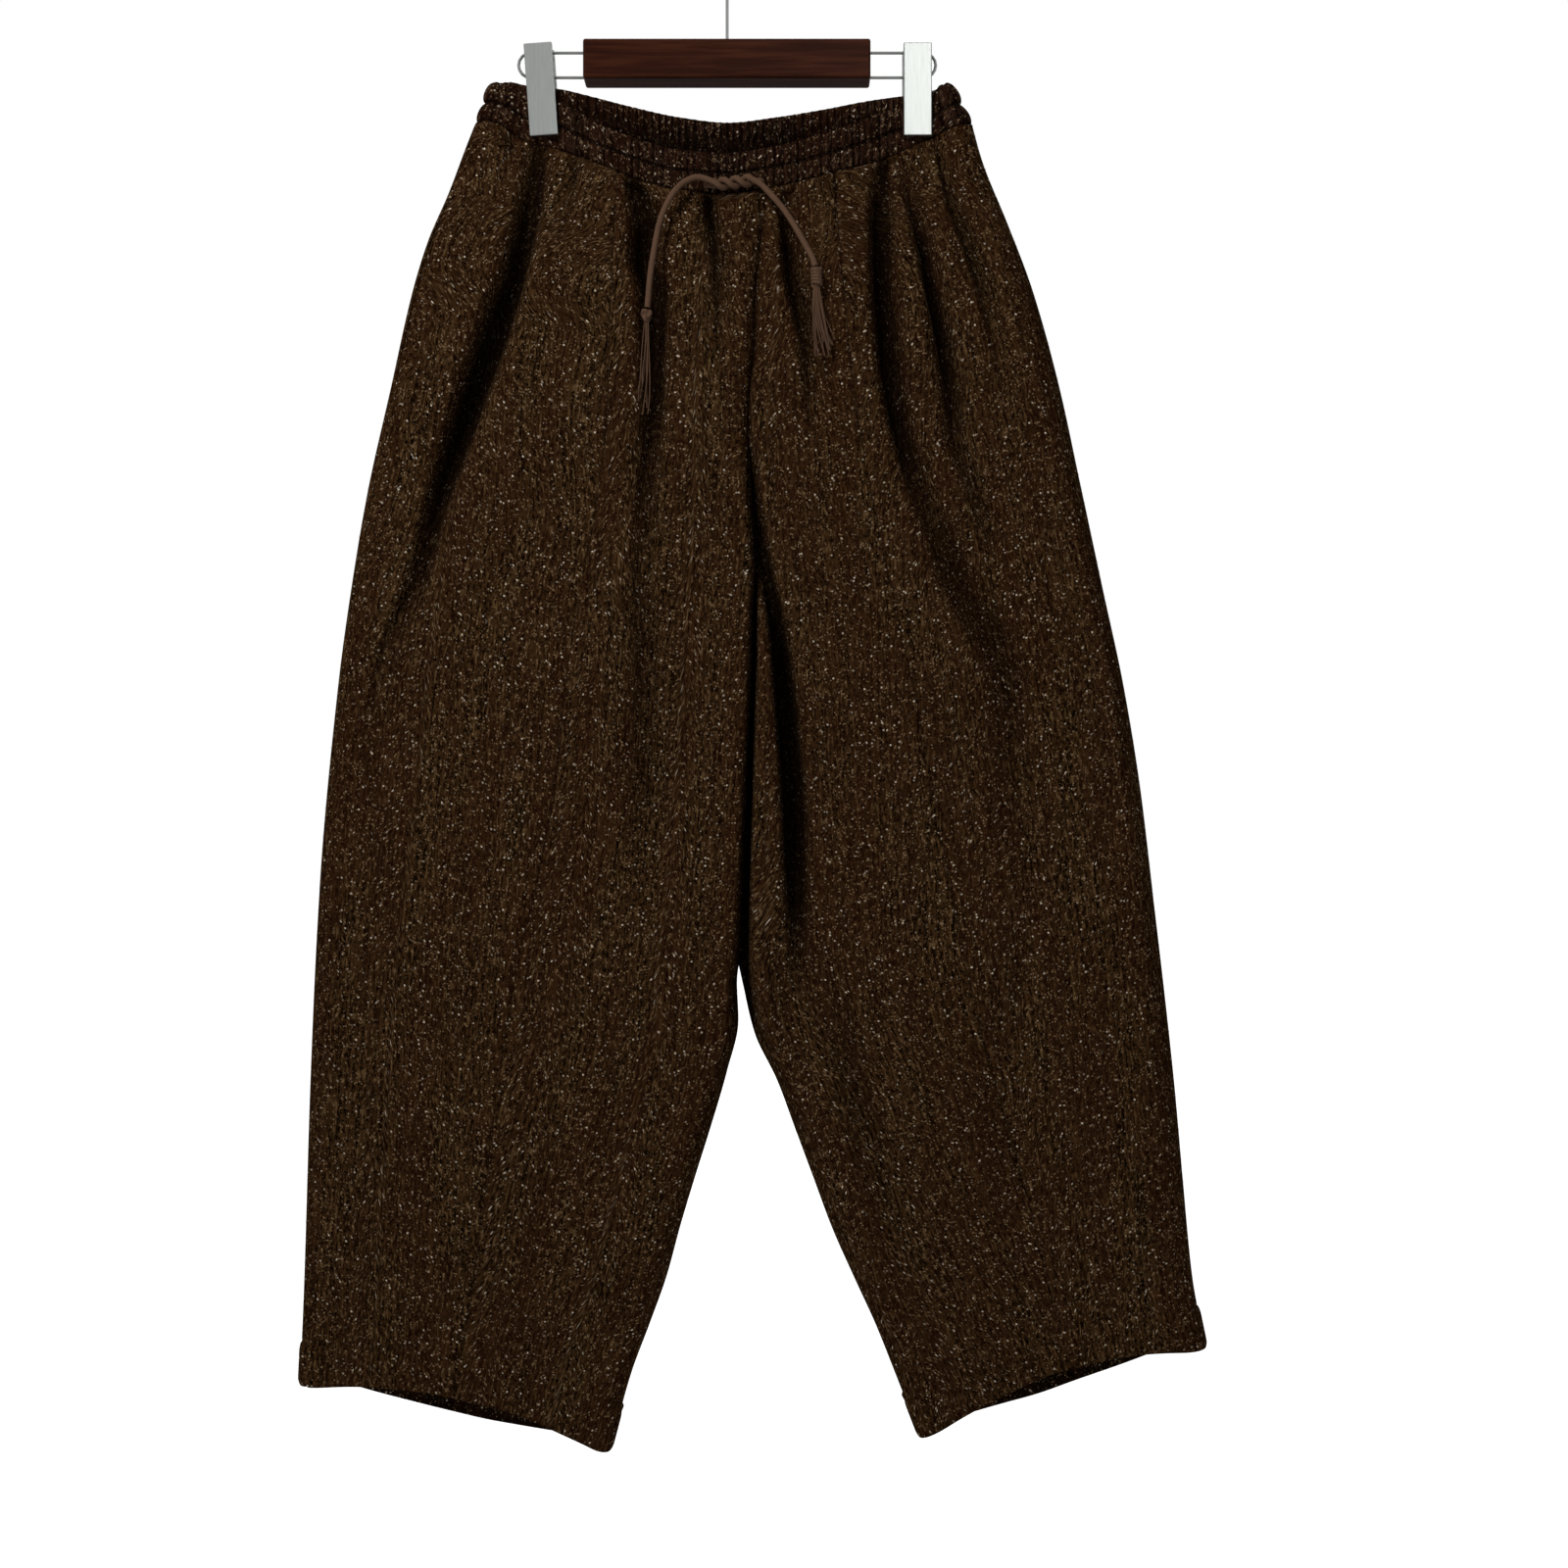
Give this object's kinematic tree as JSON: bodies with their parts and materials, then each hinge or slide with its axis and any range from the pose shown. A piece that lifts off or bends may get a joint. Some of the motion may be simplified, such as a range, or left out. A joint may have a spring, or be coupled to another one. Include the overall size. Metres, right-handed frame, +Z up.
{
  "type": "wide-leg trousers on a clip hanger",
  "caption": "Wide tapered cropped tweed trousers with a gathered elastic waistband and tied drawstring, hung by the waist from a wooden clip hanger.",
  "frame": {"origin": "inside of the top of the hanger's hook, where a rail carries it", "axes": "+Z up, -Y out of the front of the trousers, +X to the right as seen from the front"},
  "size_m": [0.648, 0.0766, 1.096],
  "materials": {
    "brown_tweed": "soft woollen tweed with slub yarns and pale neps",
    "brown_tweed_waistband": "the same tweed, gathered on elastic into upright ribs",
    "brown_cotton_cord": "matt smooth cotton cord",
    "mahogany_stained_wood": "dark red-brown stain, satin varnish",
    "satin_nickel": "satin nickel plate"
  },
  "bodies": {
    "root": {"front_inner_left": "brown_tweed", "front_outer_left": "brown_tweed", "back_left": "brown_tweed", "pocket_facing_left": "brown_tweed", "front_inner_right": "brown_tweed", "front_outer_right": "brown_tweed", "back_right": "brown_tweed", "pocket_facing_right": "brown_tweed", "waistband": "brown_tweed_waistband", "drawstring_left": "brown_cotton_cord", "drawstring_right": "brown_cotton_cord", "tassel_left": "brown_cotton_cord", "tassel_right": "brown_cotton_cord", "hanger_bar": "mahogany_stained_wood", "hanger_wire_loop": "satin_nickel", "hanger_hook": "satin_nickel", "clip_front_left": "satin_nickel", "clip_back_left": "satin_nickel", "clip_core_left": "satin_nickel", "clip_front_right": "satin_nickel", "clip_back_right": "satin_nickel", "clip_core_right": "satin_nickel"}
  },
  "joints": []
}
